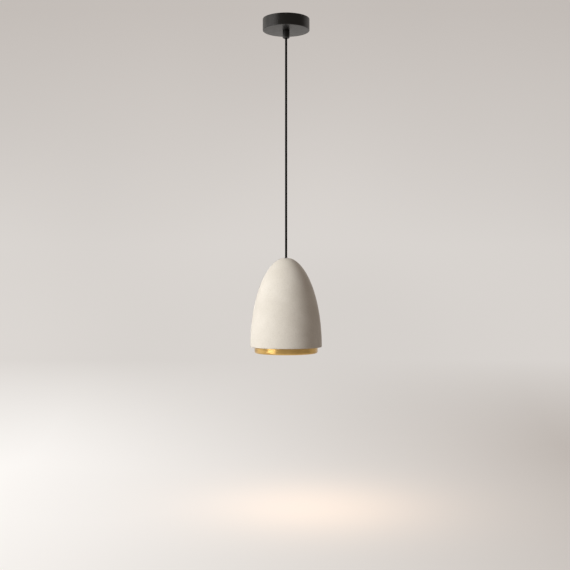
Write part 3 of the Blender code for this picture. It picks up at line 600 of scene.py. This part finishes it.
def ceiling_hardware():
    """Bracket, tube, nuts, toothed washer and the earth screw's washer.

    The strap's outline is moved clear of the axis and back, because rounded() leaves points on the
    axis as they are. Its holes are for the tube, the earth screw and the terminal block's screw.
    """
    upper = [(-44, 0), (-26, 0), (-20, -10), (20, -10), (26, 0), (44, 0)]
    lower = [(44, -1.5), (26.6, -1.5), (20.6, -11.5), (-20.6, -11.5), (-26.6, -1.5), (-44, -1.5)]
    outline = rounded([(x + 100, z) for x, z in upper + lower], 0.9, 5)
    form = prism([(x - 100, z) for x, z in outline], -10, 10)
    bmesh.ops.transform(form, matrix=Matrix.Rotation(math.pi / 2, 4, "X"), verts=form.verts)
    strap = piece("fine_ceiling_bracket", form, "zinc_steel", "root", ["ceiling_bracket"])
    end = arc(2.5, 27.0, 1.0, 0, 90, 6) + arc(-2.5, 27.0, 1.0, 90, 180, 6)
    tab = prism([(3.5, 5), *end, (-3.5, 5)], -11.4, -10.1)
    carve(strap, tab, "UNION")
    holes = [(5.3, 0, 0), (2.1, -15, 0), (1.7, 0, 22)]
    for radius, x, y in holes:
        carve(strap, plug(radius, (x, y, -14), (x, y, -7), 48))
    for x in (-36, 36):
        slot = arc(x + 2.5, 0, 2.5, -90, 90, 16) + arc(x - 2.5, 0, 2.5, 90, 270, 16)
        carve(strap, prism(slot, -4, 2))

    shank = screw_thread(-31.8, -6.5, 4.65, 5.0, M10_PITCH, 6)

    def nipple(angle):
        return [(3.45, -6.5), *shank(angle), (3.45, -31.8), (3.25, -31.6), (3.25, -6.7)]

    turned("fine_ceiling_nipple", nipple, "zinc_steel", "root", sides=48)
    turned("fine_nipple_top_nut", nut_outline(-9.7, -7.2), "zinc_steel", "root", sides=144)
    turned("fine_nipple_lock_nut", nut_outline(-15.9, -12.9), "zinc_steel", "root", sides=144)

    def teeth(angle):
        """The washer's outline, with 18 teeth round its edge that are each a little twisted."""
        share = (angle / math.tau * 18) % 1.0
        on_tooth = 0.2 < share < 0.8
        reach = 8.6 if on_tooth else 7.4
        lean = 0.22 * (share - 0.5) if on_tooth else 0.0
        points = [(5.3, -11.95), (7.2, -11.95), (reach, -11.95 - 0.1 + lean)]
        return points + [(reach, -12.45 - 0.1 + lean), (7.2, -12.45), (5.3, -12.45)]

    turned("fine_toothed_washer", teeth, "zinc_steel", "root", sides=144)
    washer = rounded([(2.1, 0.8), (4.0, 0.8), (4.5, 0.3), (4.5, 0), (2.1, 0)], 0.2)
    turned("fine_earth_washer", washer, "brass_inner", "root", sides=48, place=standing(-15, 0, -9.7))


def cores():
    """The cord's three insulated cores at both ends, on the routes that they have in the CAD model."""
    for name, side, finish in (("live", 1, "core_brown"), ("neutral", -1, "core_blue")):
        above = [
            (side * 1.3, 0.75, -12.9),
            (side * 1.3, 0.75, -7.5),
            (side * 2.0, 2.6, -4.3),
            (side * 4.0, 7.0, -3.2),
            (side * 5.0, 11.0, -5.0),
            (side * 5.0, 12.4, -9.5),
            (side * 5.0, 12.9, -13.4),
            (side * 5.0, 15.4, -15.9),
            (side * 5.0, 20.0, -16.0),
        ]
        below = [
            (side * 1.3, -0.75, -550.7),
            (side * 1.9, -1.4, -553.3),
            (side * 4.2, -2.6, -557.1),
            (side * 7.0, -2.85, -560.25),
            (side * 12.6, -2.85, -560.75),
        ]
        for end, knots, body in (("top", above, "root"), ("bottom", below, "shade")):
            node = f"core_{name}_{end}"
            tube(f"fine_{node}", smooth_run(knots), 0.95, finish, body, [node], 16)
    above = [
        (0, -1.5, -12.9),
        (0, -1.5, -7.5),
        (-1.6, -2.6, -4.6),
        (-5.5, -3.0, -4.2),
        (-9.0, -3.05, -6.0),
        (-12.0, -3.05, -7.45),
        (-18.5, -3.05, -7.65),
    ]
    below = [
        (0, 1.5, -550.7),
        (0.1, 1.8, -551.9),
        (1.2, 4.6, -553.3),
        (3.4, 9.5, -552.9),
        (3.4, 14.0, -552.4),
        (3.2, 16.1, -554.1),
        (3.2, 16.1, -557.7),
    ]
    tube("fine_core_earth_top", smooth_run(above), 0.95, "core_green", "root", ["core_earth_top"], 16)
    tube("fine_core_earth_bottom", smooth_run(below), 0.95, "core_green", "shade", ["core_earth_bottom"], 16)


# --- Shade ------------------------------------------------------------------------------------


def shade():
    """The mineral shell with its rounded rim, the bushing in its crown and the stack under it."""
    outline = [(3.5, -511.6), (3.9, -511.15)]
    outline += dome(76.3, 190.5, -511.0, RIM + 1.3, 72)
    outline += arc(75.0, RIM + 1.3, 1.3, 0, -90, 12)[1:]
    outline += arc(70.8, RIM + 1.5, 1.5, -90, -180, 8)
    outline += reversed(dome(69.3, 183.0, -523.5, RIM + 1.5, 48)[:-1])
    outline += [(3.5, -523.5)]
    turned("fine_shade_shell", outline, "shade_mineral", "shade", sides=224)

    outline = [(2.75, -510.1), (3.4, -510.1), (3.8, -510.2), (4.0, -510.45), (4.0, -510.7)]
    outline += [(3.2, -510.7), (3.2, -516.0), (2.75, -516.0)]
    turned("fine_cord_bushing", outline, "rubber", "shade", sides=64)
    turned("fine_seat_washer", ring(5.3, 16.6, -525.3, -523.8), "rubber", "shade", sides=64)
    turned("fine_support_disc", ring(5.3, 17.5, -527.6, -525.6), "zinc_steel", "shade", sides=64)
    turned("fine_disc_nut", nut_outline(-530.9, -527.9), "zinc_steel", "shade", sides=144)
    shank = screw_thread(-540.0, -524.2, 4.65, 5.0, M10_PITCH, 6)

    def nipple(angle):
        return [(3.45, -524.2), *shank(angle), (3.45, -540.0), (3.25, -539.8), (3.25, -524.4)]

    turned("fine_shade_nipple", nipple, "zinc_steel", "shade", sides=48)


def liner():
    """The spun brass liner: top plate, domed wall, the band under the shade, and its turned-in lip."""
    outline = [(20.5, -589.6), (20.9, -589.5)]
    outer = dome(67.4, 178.0, -593.0, RIM, 40)
    inner = dome(66.4, 177.0, -593.6, RIM, 40)
    edge = outer[0][0]
    outline += [(edge - 4.0, -589.5), (edge - 2.6, -589.8), (edge - 1.3, -590.6), (edge - 0.5, -591.7)]
    outline += outer
    outline += arc(63.4, -709.3, 4.0, 0, -90, 14)
    outline += [(61.5, -713.3), (61.1, -713.15), (61.0, -712.8), (61.1, -712.45), (61.5, -712.3)]
    outline += arc(63.4, -709.3, 3.0, -90, 0, 12)
    outline += reversed(inner)
    outline += [(edge - 1.7, -592.0), (edge - 3.0, -590.8), (edge - 4.4, -590.5)]
    outline += [(20.9, -590.5), (20.5, -590.4)]
    turned("fine_brass_liner", outline, "brass", "shade", sides=224)


def lampholder():
    """Cap, body with its outer thread, the two rings on that thread, and the screw shell."""
    outline = [(5.3, -531.2), (7.0, -531.2), (7.5, -531.7), (7.5, -539.5)]
    outline += arc(14.0, -549.5, 6.0, 60, 0, 10)
    outline += [(20.0, -560.3), (19.7, -560.7), (18.0, -560.7)]
    outline += arc(14.0, -549.5, 4.0, 0, 60, 8)
    outline += [(8.5, -541.5), (5.3, -541.5)]
    cap = turned("fine_lampholder_cap", outline, "holder_plastic", "shade", sides=112)
    screw_hole = plug(1.8, (0, 12, -555.0), (0, 22, -555.0))
    carve(cap, screw_hole)

    skirt = screw_thread(-595.8, -563.0, 19.45, 20.0, 2.4, 8)

    def body(angle):
        spigot = [(17.3, -558.6), (17.75, -558.6), (17.75, -561.0)]
        outside = [*spigot, (19.7, -561.0), (20.0, -561.4), *skirt(angle)]
        end = [(19.45, -596.4), (19.0, -597.0), (14.6, -597.0), (14.2, -596.6), (14.2, -594.5)]
        return outside + end + [(15.3, -594.5), (15.3, -571.5), (17.5, -571.5)]

    turned("fine_lampholder_body", body, "holder_plastic", "shade", sides=96)

    for name, bottom in (("upper_shade_ring", -589.2), ("lower_shade_ring", -594.0)):

        def knurl(angle, bottom=bottom):
            """A clamping ring's outline, with 30 shallow notches round its edge."""
            notch = 0.55 * max(0.0, math.cos(angle * 30)) ** 2
            high, reach = bottom + 3.2, 26.0 - notch
            points = [(20.4, high - 0.3), (20.7, high), (25.0, high), (reach - 0.1, high - 0.5)]
            points += [(reach, high - 0.9), (reach, bottom + 0.9), (reach - 0.1, bottom + 0.5)]
            return points + [(25.0, bottom), (20.7, bottom), (20.4, bottom + 0.3)]

        turned(f"fine_{name}", knurl, "holder_plastic", "shade", sides=360)

    inside = screw_thread(-592.9, -572.6, 13.75, 14.45, E27_PITCH, 10)

    def shell(angle):
        inner = inside(angle)
        outer = [(min(14.8, r + 0.3), z) for r, z in reversed(inner)]
        return [(13.75, -571.8), *inner, (13.75, -593.8), (14.1, -593.8), *outer, (14.1, -571.8)]

    turned("fine_screw_shell", shell, "brass_inner", "shade", sides=96)


# --- Bulb -------------------------------------------------------------------------------------


def bulb():
    """Contact, insulator, threaded cap, flared housing with cooling slits, and the opal diffuser."""
    outline = [(0, -574.6), (2.6, -574.7), (3.9, -575.1), (4.5, -575.6), (4.5, -576.2), (0, -576.2)]
    turned("fine_bulb_contact", outline, "zinc_steel", "bulb_lead", sides=48)
    outline = [(0, -576.5), (5.2, -576.5), (6.4, -577.0), (9.6, -579.2), (9.6, -580.0), (0, -580.0)]
    turned("fine_bulb_insulator", rounded(outline, 0.4), "bulb_glass_black", "bulb", sides=64)

    outside = screw_thread(-598.6, -583.2, 12.25, 13.0, E27_PITCH, 10)

    def cap(angle):
        top = [(3.0, -580.3), (9.6, -580.3), (10.6, -580.7), (11.9, -582.0), (12.25, -582.7)]
        inner = [(12.6, -598.9), (13.0, -599.2), (13.0, -599.7), (12.2, -599.7)]
        inner += [(11.95, -598.0), (11.95, -583.4), (9.4, -581.2), (3.0, -581.2)]
        return top + outside(angle) + inner

    turned("fine_bulb_cap", cap, "zinc_steel", "bulb", sides=96)

    def flare(t):
        """The housing's radius, from its neck (0) to its lower edge (1)."""
        return 14.0 + 13.5 * t * t * (3 - 2 * t)

    def slit(angle, t):
        """How deep the 24 cooling slits are, from 0 to 1. They fade out at both ends."""
        fade = math.sin(math.pi * min(1.0, max(0.0, t * 1.25 - 0.12)))
        return max(0.0, math.cos(angle * 24)) ** 4 * fade

    def housing(angle):
        points = [(10.3, -592.3), (11.8, -592.3), (11.8, -600.0)]
        inside = []
        for i in range(25):
            t = i / 24
            z = -600.0 - 40.0 * t
            points.append((flare(t) - 0.45 * slit(angle, t), z))
            if i:
                inside.append((flare(t) - 1.5, z))
        return points + inside[::-1] + [(10.3, -601.2)]

    turned("fine_bulb_housing", housing, "bulb_white", "bulb", sides=288)

    outer, inner, middle, edge = 30.0, 28.8, -652.0, 11.7
    outline = arc(0, middle, outer, math.degrees(math.asin(edge / outer)), -90, 40)
    outline += arc(0, middle, inner, -90, math.degrees(math.asin(edge / inner)), 32)
    outline = [(r if r > 1e-6 else 0.0, z) for r, z in outline]
    turned("fine_bulb_diffuser", outline, "bulb_opal", "bulb", sides=128)


# --- Nodes that keep their CAD shape ----------------------------------------------------------


def carried_over():
    """Gives the CAD nodes the procedural materials of their slots, which the kept ones show."""
    slots = {row["node"]: row["material_slot"] for row in frame["record"]["subparts"]}
    for name, node in frame["nodes"].items():
        finish = FINISHES[slots[name]]
        node.data.materials.clear()
        node.data.materials.append(finish.material)


# --- Studio -----------------------------------------------------------------------------------


def stage():
    """A pale floor that curves up into a back wall, well clear of the light on every side.

    It glows by itself, darker to the right and upward as painted shade, so that its tone hangs little on the
    lamps.
    Matt surfaces take no light from it.
    """
    profile = [(-12.0, FLOOR), (0.7, FLOOR)]
    profile += arc(0.7, 0.53, 1.6, -90, 0, 15)[1:]
    profile += [(2.3, 6.0)]
    form = bmesh.new()
    columns = [[form.verts.new((x, y, z)) for y, z in profile] for x in (-12.0, -4.0, 4.0, 12.0)]
    for left, right in zip(columns, columns[1:]):
        for k in range(len(profile) - 1):
            form.faces.new((left[k], right[k], right[k + 1], left[k + 1]))
    mesh = bpy.data.meshes.new("stage")
    form.to_mesh(mesh)
    form.free()
    mesh.shade_smooth()
    made = bpy.data.objects.new("stage", mesh)
    bpy.context.collection.objects.link(made)
    made.visible_diffuse = False

    constants = {"Roughness": 0.9, "Specular IOR Level": 0.1, "Emission Strength": 1.0}
    constants["Base Color"] = (0.10, 0.095, 0.09, 1.0)
    finish = Finish(None, "studio", constants=constants)
    x, _, z = finish.axes(finish.place)
    # Painted shade: the floor darkens to the right and the wall darkens upward.
    to_right = finish.spread(x, 0.0, 1.0, -0.75, 0.85)
    floor = finish.between(to_right, (0.87, 0.845, 0.82), (0.47, 0.43, 0.40), 0.0, 1.0)
    upward = finish.spread(z, 0.0, 1.0, -0.4, 0.7)
    wall = finish.between(upward, (0.655, 0.625, 0.60), (0.505, 0.47, 0.445), 0.0, 1.0)
    near_floor = finish.spread(z, 1.0, 0.0, FLOOR, -0.85)
    both = finish.blend(near_floor, wall, floor)
    cloud = finish.between(finish.noise(0.7, 1.0), (0.95, 0.95, 0.95), (1.03, 1.03, 1.03), 0.3, 0.7)
    clouded = finish.blend(1.0, both, cloud, "MULTIPLY")
    reach = finish.node("ShaderNodeVectorMath", {0: finish.place}, operation="LENGTH").outputs["Value"]
    far = finish.spread(reach, 0.0, 1.0, 3.2, 7.0)
    finish.give("Emission Color", finish.blend(far, clouded, PALE))
    mesh.materials.append(finish.material)


def lamp(name, kind, place, aim, power, colour, hidden_from=(), **shape):
    """A lamp at a place, turned to its aim. The camera never sees it."""
    data = bpy.data.lights.new(name, kind)
    data.energy = power
    data.color = colour
    for key, value in shape.items():
        setattr(data, key, value)
    made = bpy.data.objects.new(name, data)
    bpy.context.collection.objects.link(made)
    made.location = place
    made.rotation_euler = (Vector(aim) - Vector(place)).to_track_quat("-Z", "Y").to_euler()
    for rays in ("camera", *hidden_from):
        setattr(made, f"visible_{rays}", False)


def lights():
    """A soft key and a broad wall of light at the left, a beam from behind, and the lit bulb's pool.

    Two more lamps show only as highlights: one on the brass band, and one on the cup's side.
    """
    middle, white = (0, 0, -0.6), (1.0, 0.98, 0.95)
    key, low, high = (-1.82, -1.42, 0.1), (-1.79, -1.28, -0.84), (-2.0, -0.75, 0.6)
    side, behind, under = (-2.6, 0.9, -0.4), (0.7, 2.0, 0.1), (0.06, 0.1, -0.735)
    band = {"shape": "RECTANGLE", "size": 1.2, "size_y": 0.4}
    beam = {"spot_size": 0.55, "spot_blend": 1.0, "shadow_soft_size": 0.35}
    glow = {"spot_size": 2.4, "spot_blend": 1.0, "shadow_soft_size": 0.06}
    lamp("key", "AREA", key, middle, 52, (0.965, 0.985, 0.965), ["glossy"], size=0.9)
    lamp("band_gloss", "AREA", low, (0, 0, -0.7), 8.4, (1.0, 0.97, 0.93), ["diffuse"], **band)
    lamp("cup_gloss", "AREA", high, (0, 0, -0.013), 15, (1.0, 0.96, 0.94), ["diffuse"], size=1.9)
    lamp("left_wall", "AREA", side, middle, 12, white, size=2.4)
    lamp("back", "SPOT", behind, middle, 100, white, ["glossy"], **beam)
    lamp("pool", "SPOT", under, (0.08, 0.14, FLOOR), 12, (1.0, 0.67, 0.41), **glow)


def room():
    """A dim warm glow on the surfaces from all round. The camera sees the studio's pale colour."""
    world = bpy.data.worlds.new("room")
    bpy.context.scene.world = world
    world.use_nodes = True
    tree = world.node_tree
    seen = tree.nodes.new("ShaderNodeLightPath")
    dim = tree.nodes["Background"]
    dim.inputs["Color"].default_value = (0.235, 0.208, 0.184, 1.0)
    pale = tree.nodes.new("ShaderNodeBackground")
    pale.inputs["Color"].default_value = PALE
    mix = tree.nodes.new("ShaderNodeMixShader")
    tree.links.new(seen.outputs["Is Camera Ray"], mix.inputs[0])
    tree.links.new(dim.outputs[0], mix.inputs[1])
    tree.links.new(pale.outputs[0], mix.inputs[2])
    tree.links.new(mix.outputs[0], tree.nodes["World Output"].inputs["Surface"])
    bpy.context.scene.view_settings.view_transform = "Standard"


camera()
cords()
cup_and_grip()
ceiling_hardware()
cores()
shade()
liner()
lampholder()
bulb()
carried_over()
stage()
lights()
room()
